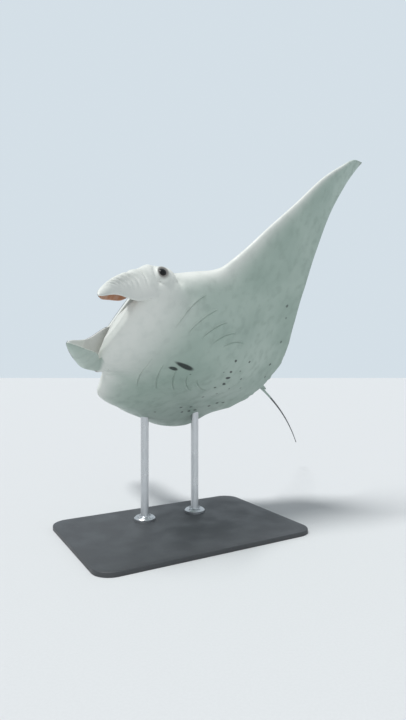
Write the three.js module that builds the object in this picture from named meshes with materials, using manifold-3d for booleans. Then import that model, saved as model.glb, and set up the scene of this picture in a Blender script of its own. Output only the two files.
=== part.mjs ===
// Life-size reef manta ray, banking in mid-swim on a display stand.
// Millimetres, +Z up. The origin is on the floor, under the middle of the stand's base.
//
// The animal is shaped in its own body frame: x towards the snout, y towards its left wing tip,
// z towards its back. Shape tables in that frame are fractions of the disc width.
import * as THREE from 'three';
import { mergeVertices } from 'three/addons/utils/BufferGeometryUtils.js';
import Module from 'manifold-3d';

const wasm = await Module();
wasm.setup();

// ---- Driving dimensions ----
const discWidth = 3400; // wing tip to wing tip, measured along the skin
const halfSpan = 0.5; // the same from the midline, as a fraction of the disc width
const gap = 0.4; // clearance left between neighbouring pieces

// ---- Pose of the swimming animal (degrees) and where its body frame stands ----
const heading = -132; // direction of travel, from +X towards +Y
const climb = 16.0;
const bank = 52.1; // left wing up
const bodyAt = new THREE.Vector3(180, -90, 1220);

// ---- Display stand ----
const base = { length: 1500, width: 1050, corner: 120, thickness: 30, bevel: 6, turn: 30 };
const rods = [
  { name: 'stand_rod_front', x: -250, y: 130 },
  { name: 'stand_rod_rear', x: 100, y: 330 },
];
const rod = { radius: 28, footRadius: 75, footHeight: 24, reach: 1300 };

// ---- Disc outline: span from the midline -> distance forward ----
const leadingEdge = smoothCurve([
  [0, 0.17], [0.09, 0.188], [0.1, 0.179], [0.115, 0.157], [0.14, 0.113], [0.155, 0.099], [0.18, 0.089],
  [0.25, 0.061], [0.32, 0.0235], [0.39, -0.016], [0.45, -0.069], [0.48, -0.102], [halfSpan, -0.142],
]);
const trailingEdge = smoothCurve([
  [0, -0.224], [0.05, -0.222], [0.08, -0.205], [0.13, -0.171], [0.2, -0.1315], [0.28, -0.11],
  [0.36, -0.102], [0.43, -0.1146], [0.48, -0.136], [halfSpan, -0.148],
]);
// The wing on the inside of the turn is drawn forward at its root, both at its leading edge and,
// less far, at its trailing edge.
const rightLeadForward = smoothCurve([
  [0.08, 0], [0.11, 0.017], [0.13, 0.0495], [0.15, 0.065], [0.165, 0.05], [0.18, 0.0145],
  [0.2, -0.004], [0.3, -0.013], [0.4, 0],
]);
const rightTrailForward = smoothCurve([
  [0, 0], [0.05, 0.013], [0.1, 0.014], [0.16, 0], [0.24, 0.008], [0.4, 0],
]);

// ---- Thickness: wing section along the span, and the trunk's rise above and below it ----
const wingThickness = smoothCurve([
  [0, 0.04], [0.1, 0.037], [0.15, 0.03], [0.25, 0.018], [0.35, 0.012], [halfSpan, 0.004],
]);
const wingEdge = 0.0012; // least half-thickness, reached close behind the rounded edges
const backRise = smoothCurve([
  [-0.222, 0.004], [-0.16, 0.008], [-0.08, 0.018], [0, 0.024], [0.08, 0.025], [0.16, 0.018],
]);
const bellyRise = smoothCurve([
  [-0.222, 0.004], [-0.16, 0.012], [-0.08, 0.026], [0, 0.036], [0.08, 0.041], [0.16, 0.034],
]);
const trunkSpread = smoothCurve([[-0.222, 0.045], [-0.12, 0.07], [0, 0.097], [0.08, 0.102], [0.16, 0.1]]);

// ---- How the wings bend up (span -> slope in degrees), and their twist towards the tips ----
const leftBend = wingBend([[0, 0], [0.05, 0], [0.14, 0.6], [0.24, 15.8], [0.36, 26], [halfSpan, 38]]);
const rightBend = wingBend([[0, 0], [0.08, 0], [0.14, 13.4], [0.24, 60], [0.36, 64.5], [halfSpan, 53]]);
const leftTwist = smoothCurve([[0.1, 0], [0.2, -2.2], [0.3, -6.3], [0.4, -11.6], [halfSpan, -17.8]]);
const rightTwist = smoothCurve([[0.1, 0], [0.15, -4.8], [0.2, 2.4], [0.3, 17.5], [halfSpan, -8]]);
const rearSway = { amount: 0.3, from: 0.05, spread: 0.06 }; // the rear of the trunk swings right

// ---- Head: distance forward -> half-width, top and bottom ----
const headStart = 0.04;
const headFront = 0.242;
const headHalfWidth = smoothCurve([
  [headStart, 0.04], [0.08, 0.062], [0.12, 0.082], [0.15, 0.093], [0.175, 0.096], [0.197, 0.094],
  [0.212, 0.089], [0.226, 0.076], [0.236, 0.058], [headFront, 0.034],
]);
const headTop = smoothCurve([
  [headStart, 0.022], [0.08, 0.034], [0.12, 0.038], [0.16, 0.036], [0.2, 0.029], [0.216, 0.014],
  [0.227, -0.006], [headFront, -0.024],
]);
const headBottom = smoothCurve([
  [headStart, -0.03], [0.08, -0.046], [0.12, -0.053], [0.16, -0.057], [0.2, -0.055],
  [0.22, -0.053], [0.236, -0.048], [headFront, -0.04],
]);
const headSquareness = { top: 2.8, bottom: 2.3 }; // exponents of the head's cross-sections
const mouth = {
  back: 0.13,
  front: 0.262,
  halfWidth: 0.066,
  top: -0.013,
  bottom: -0.037,
  floorRise: 0.0115, // the lower jaw bows up between the corners of the mouth
  riseSpread: 0.03,
};

// ---- Cephalic fins: dorsal margin, outermost line and ventral margin, root to tip ----
const leftCephalic = {
  side: 1,
  dorsal: [[0.195, 0.05, 0.004], [0.227, 0.043, -0.009], [0.257, 0.032, -0.035],
    [0.3, 0.032, -0.064], [0.341, 0.04, -0.102]],
  outer: [[0.18, 0.08, -0.004], [0.218, 0.091, 0.002], [0.25, 0.078, -0.015],
    [0.295, 0.062, -0.0487], [0.338, 0.0475, -0.09]],
  ventral: [[0.19, 0.06, -0.036], [0.218, 0.06, -0.047], [0.255, 0.0507, -0.064],
    [0.3, 0.0495, -0.0765], [0.347, 0.0437, -0.108]],
};
const rightCephalic = {
  side: -1,
  dorsal: [[0.2, 0.03, 0.004], [0.236, 0.027, -0.0135], [0.256, 0.0555, -0.0185],
    [0.3, 0.056, -0.0475], [0.337, 0.0385, -0.0935]],
  outer: [[0.18, 0.084, -0.012], [0.21, 0.094, -0.021], [0.245, 0.0945, -0.0365],
    [0.28, 0.0765, -0.061], [0.333, 0.043, -0.094]],
  ventral: [[0.19, 0.072, -0.032], [0.222, 0.0765, -0.036], [0.255, 0.057, -0.0585],
    [0.295, 0.045, -0.082], [0.344, 0.0335, -0.1045]],
};
const cephalicThickness = { root: 0.014, tip: 0.0065, tipRounding: 0.14, fullness: 0.6 };

// ---- Tail, small fins and eyes ----
const tailRoute = [[-0.17, -0.0145, 0.001], [-0.29, -0.04, 0], [-0.5, -0.1, 0.07], [-0.7, -0.19, 0.104]];
const tailRadius = { tip: 0.0011, slope: 0.0014, root: 0.013, fade: 0.06, flatness: 0.8 };
const pelvicFin = {
  root: [-0.18, 0.028],
  tip: [-0.225, 0.026],
  halfWidth: 0.0115,
  thickness: 0.009,
  cut: -0.205,
  rightForward: 0.011, // the right one follows the trailing edge of its wing
};
const dorsalFin = { front: -0.19, back: -0.242, tipAt: -0.236, height: 0.034, thickness: 0.008 };
const orbit = { at: [0.1985, 0.0872, -0.0062], radii: [0.026, 0.0225, 0.0225] }; // swelling round the eye
const eye = { at: [0.2078, 0.0965, -0.0125], radii: [0.0097, 0.0097, 0.0097] };

// ---- Where the one body is parted into its named lengths ----
const partings = {
  head: 0.1,
  wing: 0.125,
  tailRoot: -0.2265,
  tailSecond: -0.36,
  tailThird: -0.52,
  dorsal: 0.0165,
};

// ---- Materials ----
const finish = {
  skin: { color: 0xd9ded6, roughness: 0.55, metalness: 0 },
  darkSkin: { color: 0x2b3036, roughness: 0.55, metalness: 0 },
  eye: { color: 0x0b0b0d, roughness: 0.08, metalness: 0 },
  base: { color: 0x3a3d40, roughness: 0.5, metalness: 0 },
  rod: { color: 0x9b9ea1, roughness: 0.3, metalness: 1 },
};

// ==== Curves ====

// A function through (position, value) pairs that never overshoots between them.
function smoothCurve(points) {
  const steps = points.slice(1).map((p, i) => p[0] - points[i][0]);
  const secants = points.slice(1).map((p, i) => (p[1] - points[i][1]) / steps[i]);
  const slopes = points.map((_, i) => {
    if (i === 0) return secants[0];
    if (i === points.length - 1) return secants[i - 1];
    const product = secants[i - 1] * secants[i];
    return product > 0 ? (2 * product) / (secants[i - 1] + secants[i]) : 0;
  });
  return (position) => {
    const x = THREE.MathUtils.clamp(position, points[0][0], points.at(-1)[0]);
    let i = 0;
    while (i < steps.length - 1 && x > points[i + 1][0]) i += 1;
    const t = (x - points[i][0]) / steps[i];
    const rise = points[i][1] * (1 + 2 * t) * (1 - t) ** 2 + points[i + 1][1] * t * t * (3 - 2 * t);
    const lean = slopes[i] * t * (1 - t) ** 2 - slopes[i + 1] * t * t * (1 - t);
    return rise + steps[i] * lean;
  };
}

// Where the wing's middle surface goes as its slope changes along the span.
function wingBend(slopesInDegrees) {
  const slope = smoothCurve(slopesInDegrees);
  const count = 400;
  const step = halfSpan / count;
  const out = [0];
  const up = [0];
  for (let i = 0; i < count; i += 1) {
    const angle = THREE.MathUtils.degToRad(slope((i + 0.5) * step));
    out.push(out[i] + Math.cos(angle) * step);
    up.push(up[i] + Math.sin(angle) * step);
  }
  const read = (list, span) => {
    const place = Math.min(span / step, count - 1e-6);
    const i = Math.floor(place);
    return THREE.MathUtils.lerp(list[i], list[i + 1], place - i);
  };
  return (span) => ({
    out: read(out, span),
    up: read(up, span),
    angle: THREE.MathUtils.degToRad(slope(span)),
  });
}

const signedPower = (value, power) => Math.sign(value) * Math.abs(value) ** power;
const swayAt = (x) => -rearSway.amount * Math.min(x - rearSway.from, 0) ** 2;
const point = (x, y, z) => new THREE.Vector3(x, y, z);
const scaled = (triple, side) => point(triple[0], side * triple[1], triple[2]);
const around = (count, make) => Array.from({ length: count }, (_, i) => make((i / count) * 2 * Math.PI));

// ==== Closed lofts ====

// Rings of equal length, joined in order and closed at both ends, scaled to real size.
function loft(rings) {
  const size = rings[0].length;
  const positions = rings.flat().flatMap((p) => [p.x, p.y, p.z]);
  const index = [];
  for (let i = 0; i + 1 < rings.length; i += 1) {
    for (let j = 0; j < size; j += 1) {
      const a = i * size + j;
      const b = i * size + ((j + 1) % size);
      index.push(a, b, b + size, a, b + size, a + size);
    }
  }
  for (const [ring, order] of [[0, [0, 2, 1]], [rings.length - 1, [0, 1, 2]]]) {
    const middle = rings[ring].reduce((sum, p) => sum.add(p), point(0, 0, 0)).divideScalar(size);
    const centre = positions.length / 3;
    positions.push(middle.x, middle.y, middle.z);
    for (let j = 0; j < size; j += 1) {
      const corners = [centre, ring * size + j, ring * size + ((j + 1) % size)];
      index.push(...order.map((k) => corners[k]));
    }
  }
  const geometry = new THREE.BufferGeometry();
  geometry.setAttribute('position', new THREE.Float32BufferAttribute(positions, 3));
  geometry.setIndex(index);
  geometry.scale(discWidth, discWidth, discWidth);
  return geometry;
}

// ==== Solids ====

function solid(geometry) {
  const bare = geometry.clone();
  bare.deleteAttribute('normal');
  bare.deleteAttribute('uv');
  const merged = mergeVertices(bare, 1e-4);
  const build = (triVerts) => new wasm.Manifold(new wasm.Mesh({
    numProp: 3,
    vertProperties: Float32Array.from(merged.attributes.position.array),
    triVerts,
  }));
  const faces = Uint32Array.from(merged.index.array);
  const made = build(faces);
  // A loft that came out inside out is built again with its triangles the other way round.
  return made.volume() > 0 ? made : build(faces.reverse());
}

function box(low, high) {
  const size = high.map((value, i) => value - low[i]);
  const geometry = new THREE.BoxGeometry(...size);
  geometry.translate(...high.map((value, i) => (value + low[i]) / 2));
  return solid(geometry);
}

// Everything ahead of, behind or beside a plane across one axis of the body frame.
const far = 3 * discWidth;
function above(axis, value) {
  const low = [-far, -far, -far];
  low[axis] = value * discWidth + gap / 2;
  return box(low, [far, far, far]);
}
function below(axis, value) {
  const high = [far, far, far];
  high[axis] = value * discWidth - gap / 2;
  return box([-far, -far, -far], high);
}

function meshOf(name, shape, style) {
  const { vertProperties, triVerts } = shape.getMesh();
  const geometry = new THREE.BufferGeometry();
  geometry.setAttribute('position', new THREE.Float32BufferAttribute(vertProperties, 3));
  geometry.setIndex(Array.from(triVerts));
  geometry.computeVertexNormals();
  const mesh = new THREE.Mesh(geometry, new THREE.MeshStandardMaterial(finish[style]));
  mesh.name = name;
  return mesh;
}

// ==== Disc: trunk and both wings ====

function wingSection(chord) {
  return 2.969 * Math.sqrt(chord) - 1.26 * chord - 3.516 * chord ** 2
    + 2.843 * chord ** 3 - 1.036 * chord ** 4;
}

// A point at a span, a distance forward and a height above the flat disc, after the wing has
// twisted and bent.
function discPoint(side, span, x, height) {
  const twist = THREE.MathUtils.degToRad((side > 0 ? leftTwist : rightTwist)(span));
  const pivot = 0.02 - 0.2 * (span / halfSpan) ** 2;
  const turnedX = pivot + (x - pivot) * Math.cos(twist) - height * Math.sin(twist);
  const turnedUp = height * Math.cos(twist) + (x - pivot) * Math.sin(twist);
  const { out, up, angle } = (side > 0 ? leftBend : rightBend)(span);
  const sway = swayAt(turnedX) * Math.exp(-((span / rearSway.spread) ** 2));
  return point(
    turnedX,
    side * (out - turnedUp * Math.sin(angle)) + sway,
    up + turnedUp * Math.cos(angle),
  );
}

function discRing(station, ringSize) {
  const side = station < 0 ? -1 : 1;
  const span = Math.abs(station);
  const front = leadingEdge(span) + (side < 0 ? rightLeadForward(span) : 0);
  const rear = trailingEdge(span) + (side < 0 ? rightTrailForward(span) : 0);
  return around(ringSize, (turn) => {
    const chord = (1 + Math.cos(turn)) / 2;
    const x = front + (rear - front) * chord;
    const rounding = Math.sqrt(Math.max(1 - (2 * chord - 1) ** 8, 0));
    const wing = (wingThickness(span) / 2) * wingSection(chord) + wingEdge * rounding;
    const fullness = 1 - (2 * chord - 1) ** (chord < 0.5 ? 12 : 6);
    const trunk = Math.exp(-((span / trunkSpread(x)) ** 2.8)) * fullness;
    const isEdge = Math.abs(Math.sin(turn)) < 1e-9;
    const top = wing + backRise(x) * trunk;
    const bottom = -wing - bellyRise(x) * trunk;
    const height = isEdge ? 0 : (Math.sin(turn) > 0 ? top : bottom);
    return discPoint(side, span, x, height);
  });
}

function disc() {
  const stations = 56;
  const rings = [];
  for (let i = 0; i <= stations; i += 1) {
    const even = (2 * i) / stations - 1;
    // Stations are a little closer together towards the tips.
    const spread = 0.6 * Math.sin((even * Math.PI) / 2) + 0.4 * even;
    rings.push(discRing(spread * 0.4992, 24));
  }
  return solid(loft(rings));
}

// ==== Head ====

// The head is turned slightly to the right, more so towards its front.
const headSway = (x) => -0.006 * THREE.MathUtils.clamp((x - 0.08) / 0.16, 0, 1) ** 1.5;

function headRing(x, ringSize, grow) {
  const top = headTop(x) + grow;
  const bottom = headBottom(x) - grow;
  return around(ringSize, (turn) => {
    const power = 2 / (turn < Math.PI ? headSquareness.top : headSquareness.bottom);
    return point(
      x,
      (headHalfWidth(x) + grow) * signedPower(Math.cos(turn), power) + headSway(x),
      (top + bottom) / 2 + ((top - bottom) / 2) * signedPower(Math.sin(turn), power),
    );
  });
}

// The head without its mouth; grow makes it larger all round, as a cutter.
function headBlock(grow = 0) {
  const rings = [];
  const steps = 16;
  for (let i = 0; i <= steps; i += 1) {
    const x = headStart + (headFront - headStart) * Math.sin((i / steps) * (Math.PI / 2));
    rings.push(headRing(x, 28, grow));
  }
  if (grow > 0) rings.push(rings.at(-1).map((p) => p.clone().add(point(grow, 0, 0))));
  return solid(loft(rings)).add(ball(orbit, 1, grow)).add(ball(orbit, -1, grow));
}

// A ball or ellipsoid on one side of the head; the radii are fractions of the disc width.
function ball({ at, radii }, side, grow = 0) {
  const geometry = new THREE.SphereGeometry(1, 16, 10);
  geometry.scale(...radii.map((radius) => radius + grow));
  geometry.translate(at[0], side * at[1] + headSway(at[0]), at[2]);
  geometry.scale(discWidth, discWidth, discWidth);
  return solid(geometry);
}

// The slightly open mouth: a wide flat slot that closes towards the throat.
function mouthHollow() {
  const rings = [];
  const steps = 8;
  const middle = (mouth.top + mouth.bottom) / 2;
  for (let i = 0; i <= steps; i += 1) {
    const x = mouth.back + (mouth.front - mouth.back) * (i / steps);
    const open = Math.sqrt(Math.sin((Math.min(i + 0.6, steps) / steps) * (Math.PI / 2)));
    rings.push(around(20, (turn) => {
      const across = mouth.halfWidth * open * signedPower(Math.cos(turn), 0.8);
      const height = signedPower(Math.sin(turn), 0.6);
      const floor = mouth.floorRise * Math.exp(-((across / mouth.riseSpread) ** 2)) * Math.max(-height, 0);
      return point(x, across - 0.006, middle + ((mouth.top - mouth.bottom) / 2) * open * height + floor);
    }));
  }
  return solid(loft(rings));
}

// ==== Cephalic fins ====

// A curled blade: each section runs from the dorsal margin over the outermost line to the
// ventral margin, and the blade narrows to a rounded tip.
function cephalicFin({ side, dorsal, outer, ventral }) {
  const [dorsalLine, outerLine, ventralLine] = [dorsal, outer, ventral]
    .map((list) => new THREE.CatmullRomCurve3(list.map((p) => scaled(p, side))));
  const steps = 12;
  const ringSize = 20;
  const rings = [];
  for (let i = 0; i <= steps; i += 1) {
    const along = Math.sin((i / steps) * (Math.PI / 2));
    const tipStart = 1 - cephalicThickness.tipRounding;
    const rounding = Math.max(along - tipStart, 0) / cephalicThickness.tipRounding;
    const narrow = Math.sqrt(Math.max(1 - rounding ** 2, 0.004));
    const [d, o, v] = [dorsalLine, outerLine, ventralLine].map((line) => line.getPoint(along));
    const middle = d.clone().add(v).multiplyScalar(0.25).addScaledVector(o, 0.5);
    for (const p of [d, o, v]) p.lerpVectors(middle, p.clone(), narrow);
    const pull = o.clone().multiplyScalar(2).addScaledVector(d, -0.5).addScaledVector(v, -0.5);
    const section = new THREE.QuadraticBezierCurve3(d, pull, v);
    const ahead = outerLine.getTangent(Math.min(along, 0.98));
    const thickness = THREE.MathUtils.lerp(cephalicThickness.root, cephalicThickness.tip, along)
      * Math.sqrt(Math.max(narrow, 0.05));
    rings.push(around(ringSize, (turn) => {
      const across = (1 + Math.cos(turn)) / 2;
      const normal = new THREE.Vector3().crossVectors(ahead, section.getTangent(across)).normalize();
      const height = (thickness / 2) * signedPower(Math.sin(turn), cephalicThickness.fullness);
      return section.getPoint(across).addScaledVector(normal, height);
    }));
  }
  return solid(loft(rings));
}

// ==== Tail, pelvic fins and dorsal fin ====

function tail() {
  const route = new THREE.CubicBezierCurve3(...tailRoute.map((p) => scaled(p, 1)));
  const up = point(0, 0, 1);
  const steps = 26;
  const rings = [];
  for (let i = 0; i <= steps; i += 1) {
    const along = i / steps;
    const ahead = route.getTangent(along);
    const across = new THREE.Vector3().crossVectors(ahead, up).normalize();
    const over = new THREE.Vector3().crossVectors(across, ahead);
    const radius = tailRadius.tip + tailRadius.slope * (1 - along)
      + tailRadius.root * Math.exp(-along / tailRadius.fade);
    rings.push(around(8, (turn) => route.getPoint(along)
      .addScaledVector(across, radius * Math.cos(turn))
      .addScaledVector(over, radius * tailRadius.flatness * Math.sin(turn))));
  }
  return solid(loft(rings));
}

// A small rounded lobe beside the root of the tail.
function pelvicLobe(side) {
  const steps = 8;
  const forward = side < 0 ? pelvicFin.rightForward : 0;
  const rings = [];
  for (let i = 0; i <= steps; i += 1) {
    const along = i / steps;
    const x = THREE.MathUtils.lerp(pelvicFin.root[0], pelvicFin.tip[0], along) + forward;
    const y = side * THREE.MathUtils.lerp(pelvicFin.root[1], pelvicFin.tip[1], along) + swayAt(x);
    const width = pelvicFin.halfWidth * Math.sqrt(Math.max(1 - along ** 4, 0.02));
    const half = (pelvicFin.thickness / 2) * Math.sqrt(Math.max(1 - along ** 3, 0.05));
    rings.push(around(12, (turn) => point(x, y + width * Math.cos(turn), half * Math.sin(turn))));
  }
  return solid(loft(rings));
}

// The block that parts a pelvic fin from the trunk.
function pelvicBox(side, grow = 0) {
  const middle = (side * pelvicFin.tip[1] + swayAt(pelvicFin.tip[0])) * discWidth;
  const half = (pelvicFin.halfWidth + 0.002) * discWidth + grow;
  const front = (pelvicFin.cut + (side < 0 ? pelvicFin.rightForward : 0)) * discWidth + grow;
  return box([-far, middle - half, -far], [front, middle + half, far]);
}

// A low swept triangle on top of the tail's root.
function dorsalBlade() {
  const steps = 7;
  const rings = [];
  for (let i = 0; i <= steps; i += 1) {
    const up = i / steps;
    const front = THREE.MathUtils.lerp(dorsalFin.front, dorsalFin.tipAt, up ** 0.8);
    const back = THREE.MathUtils.lerp(dorsalFin.back, dorsalFin.tipAt - 0.004, up ** 2);
    const half = (dorsalFin.thickness / 2) * (1 - 0.7 * up);
    rings.push(around(12, (turn) => {
      const x = (front + back) / 2 + ((front - back) / 2) * Math.cos(turn);
      return point(x, half * Math.sin(turn) + swayAt(x), up * dorsalFin.height);
    }));
  }
  return solid(loft(rings));
}

// ==== The animal in its body frame ====

function buildAnimal() {
  const discSolid = disc();
  const cephalics = { left: cephalicFin(leftCephalic), right: cephalicFin(rightCephalic) };
  const pelvics = { left: pelvicLobe(1), right: pelvicLobe(-1) };
  const tailSolid = tail();
  const blade = dorsalBlade();
  const eyes = { left: ball(eye, 1), right: ball(eye, -1) };
  const sockets = ball(eye, 1, gap / discWidth).add(ball(eye, -1, gap / discWidth));

  let body = discSolid.add(headBlock()).add(tailSolid.intersect(above(0, partings.tailRoot)));
  body = body.add(pelvics.left).add(pelvics.right).subtract(mouthHollow()).subtract(sockets);
  const headCutter = discSolid.add(headBlock(gap / discWidth));
  const middle = body.intersect(above(1, -partings.wing)).intersect(below(1, partings.wing));
  const rear = below(0, partings.tailRoot);
  const pieces = {
    head: middle.intersect(above(0, partings.head)),
    trunk: middle.intersect(below(0, partings.head))
      .subtract(pelvicBox(1, gap))
      .subtract(pelvicBox(-1, gap)),
    wing_left: body.intersect(above(1, partings.wing)),
    wing_right: body.intersect(below(1, -partings.wing)),
    tail_base: tailSolid.intersect(rear).intersect(above(0, partings.tailSecond)),
    tail_middle: tailSolid.intersect(below(0, partings.tailSecond)).intersect(above(0, partings.tailThird)),
    tail_end: tailSolid.intersect(below(0, partings.tailThird)),
    dorsal_fin: blade.intersect(above(2, partings.dorsal)),
  };
  for (const side of ['left', 'right']) {
    pieces[`cephalic_fin_${side}`] = cephalics[side].subtract(headCutter).subtract(sockets);
    pieces[`pelvic_fin_${side}`] = body.intersect(pelvicBox(side === 'left' ? 1 : -1));
    pieces[`eye_${side}`] = eyes[side];
  }
  return pieces;
}

// ==== Stand ====

function baseGeometry() {
  const { length, width, corner, thickness, bevel } = base;
  const [x, y] = [length / 2 - bevel, width / 2 - bevel];
  const outline = new THREE.Shape();
  outline.moveTo(-x + corner, -y);
  outline.lineTo(x - corner, -y);
  outline.absarc(x - corner, -y + corner, corner, -Math.PI / 2, 0, false);
  outline.absarc(x - corner, y - corner, corner, 0, Math.PI / 2, false);
  outline.absarc(-x + corner, y - corner, corner, Math.PI / 2, Math.PI, false);
  outline.absarc(-x + corner, -y + corner, corner, Math.PI, 1.5 * Math.PI, false);
  const geometry = new THREE.ExtrudeGeometry(outline, {
    depth: thickness - 2 * bevel,
    bevelThickness: bevel,
    bevelSize: bevel,
    bevelSegments: 1,
    curveSegments: 6,
  });
  geometry.translate(0, 0, bevel);
  geometry.rotateZ(THREE.MathUtils.degToRad(base.turn));
  return geometry;
}

// A round rod with a wide foot, standing on the base and running up into the body.
function rodGeometry({ x, y }) {
  const profile = [
    [0, 0], [rod.footRadius, 0], [rod.footRadius, rod.footHeight * 0.6],
    [rod.footRadius - 10, rod.footHeight], [rod.radius, rod.footHeight],
    [rod.radius, rod.reach], [0, rod.reach],
  ];
  const geometry = new THREE.LatheGeometry(profile.map((p) => new THREE.Vector2(...p)), 24);
  geometry.rotateX(Math.PI / 2);
  geometry.translate(x, y, base.thickness + gap);
  return geometry;
}

// ==== The whole exhibit ====

const exhibit = new THREE.Group();
const animal = new THREE.Group();
animal.position.copy(bodyAt);
animal.rotation.set(
  THREE.MathUtils.degToRad(bank),
  THREE.MathUtils.degToRad(-climb),
  THREE.MathUtils.degToRad(heading),
  'ZYX',
);
animal.updateMatrix();
exhibit.add(animal);

const pieces = buildAnimal();
for (const [name, shape] of Object.entries(pieces)) {
  const dark = name.startsWith('tail') || name === 'dorsal_fin';
  animal.add(meshOf(name, shape, name.startsWith('eye') ? 'eye' : (dark ? 'darkSkin' : 'skin')));
}

exhibit.add(meshOf('stand_base', solid(baseGeometry()), 'base'));
const lifted = (shape) => shape.transform(animal.matrix.elements).translate([0, 0, -gap]);
const rodCutter = ['trunk', 'wing_left', 'wing_right', 'head'].map((name) => lifted(pieces[name]));
for (const place of rods) {
  const whole = rodCutter.reduce((shape, cutter) => shape.subtract(cutter), solid(rodGeometry(place)));
  const lowest = whole.decompose().sort((a, b) => a.boundingBox().min[2] - b.boundingBox().min[2])[0];
  exhibit.add(meshOf(place.name, lowest, 'rod'));
}

export default exhibit;
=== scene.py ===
"""Life-size reef manta ray, banking in mid-swim on a display stand.

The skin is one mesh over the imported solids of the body. It is shaped in the animal's own body
frame: x towards the snout, y towards the left wing tip, z towards the back, in fractions of the
disc width. Everything else is in metres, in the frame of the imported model.
"""
import math

import bmesh
import bpy
import numpy as np
from mathutils import Matrix, Vector
from mathutils.bvhtree import BVHTree


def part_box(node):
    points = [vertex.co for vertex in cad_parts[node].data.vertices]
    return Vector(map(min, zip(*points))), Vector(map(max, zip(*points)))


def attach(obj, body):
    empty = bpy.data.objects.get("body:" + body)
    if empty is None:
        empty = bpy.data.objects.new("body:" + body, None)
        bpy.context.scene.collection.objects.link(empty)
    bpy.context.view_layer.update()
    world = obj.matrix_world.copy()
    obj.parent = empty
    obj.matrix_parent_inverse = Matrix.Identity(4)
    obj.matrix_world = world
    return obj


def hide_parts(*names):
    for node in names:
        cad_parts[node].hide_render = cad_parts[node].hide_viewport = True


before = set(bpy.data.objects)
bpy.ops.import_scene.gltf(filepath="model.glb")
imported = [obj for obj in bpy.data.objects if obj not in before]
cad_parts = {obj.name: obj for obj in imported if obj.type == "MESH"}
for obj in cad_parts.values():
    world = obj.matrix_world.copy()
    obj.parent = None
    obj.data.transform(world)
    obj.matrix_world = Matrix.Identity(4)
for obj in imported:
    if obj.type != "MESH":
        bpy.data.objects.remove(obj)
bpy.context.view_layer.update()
root = "root"

# ---- Driving dimensions ----
disc_width = 3.4
half_span = 0.5
heading, climb, bank = -132.0, 16.0, 52.1  # degrees
body_at = Vector((0.180, -0.090, 1.220))
to_world = Matrix.Translation(body_at) @ (
    Matrix.Rotation(math.radians(heading), 4, "Z")
    @ Matrix.Rotation(math.radians(-climb), 4, "Y")
    @ Matrix.Rotation(math.radians(bank), 4, "X")
)


# ==== Curves ====

def smooth_curve(points):
    """A function through (position, value) pairs that never overshoots between them."""
    xs, ys = np.array(points, float).T
    steps = np.diff(xs)
    secants = np.diff(ys) / steps
    product = secants[:-1] * secants[1:]
    total = np.where(product > 0, secants[:-1] + secants[1:], 1)
    inner = np.where(product > 0, 2 * product / total, 0)
    slopes = np.concatenate([secants[:1], inner, secants[-1:]])

    def read(position):
        x = np.clip(position, xs[0], xs[-1])
        i = np.clip(np.searchsorted(xs, x) - 1, 0, len(steps) - 1)
        t = (x - xs[i]) / steps[i]
        rise = ys[i] * (1 + 2 * t) * (1 - t) ** 2 + ys[i + 1] * t * t * (3 - 2 * t)
        lean = slopes[i] * t * (1 - t) ** 2 - slopes[i + 1] * t * t * (1 - t)
        return rise + steps[i] * lean

    return read


def wing_bend(slopes_in_degrees):
    """Where the wing's middle surface goes as its slope changes along the span: out, up, angle."""
    slope = smooth_curve(slopes_in_degrees)
    count = 400
    step = half_span / count
    angles = np.radians(slope((np.arange(count) + 0.5) * step))
    spans = np.arange(count + 1) * step
    out = np.concatenate([[0], np.cumsum(np.cos(angles))]) * step
    up = np.concatenate([[0], np.cumsum(np.sin(angles))]) * step
    return lambda span: (
        np.interp(span, spans, out),
        np.interp(span, spans, up),
        np.radians(slope(span)),
    )


def smooth_line(points):
    """A centripetal Catmull-Rom line through the points, read at 0 to 1."""
    points = np.array(points, float)
    ends = [2 * points[0] - points[1]], [2 * points[-1] - points[-2]]
    knots = np.concatenate([ends[0], points, ends[1]])

    def read(along):
        place = min(max(along, 0), 1) * (len(points) - 1)
        i = min(int(place), len(points) - 2)
        t = place - i
        p0, p1, p2, p3 = knots[i : i + 4]
        pairs = (p0, p1), (p1, p2), (p2, p3)
        d0, d1, d2 = (max(np.linalg.norm(b - a) ** 0.5, 1e-9) for a, b in pairs)
        t1 = ((p1 - p0) / d0 - (p2 - p0) / (d0 + d1) + (p2 - p1) / d1) * d1
        t2 = ((p2 - p1) / d1 - (p3 - p1) / (d1 + d2) + (p3 - p2) / d2) * d1
        c2 = -3 * p1 + 3 * p2 - 2 * t1 - t2
        c3 = 2 * p1 - 2 * p2 + t1 + t2
        return p1 + t1 * t + c2 * t * t + c3 * t ** 3

    return read


def smooth_step(low, high, value):
    """0 up to low, 1 from high on and smooth between them."""
    t = np.clip((value - low) / (high - low), 0, 1)
    return t * t * (3 - 2 * t)


def signed_power(value, power):
    """The value's size raised to a power, with the value's sign."""
    return np.sign(value) * np.abs(value) ** power


def bell(value, width, middle=0.0):
    """1 at the middle, falling off smoothly on both sides within about twice the width."""
    return np.exp(-(((value - middle) / width) ** 2))


# ==== Shape tables, as in the part's source ====

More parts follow.
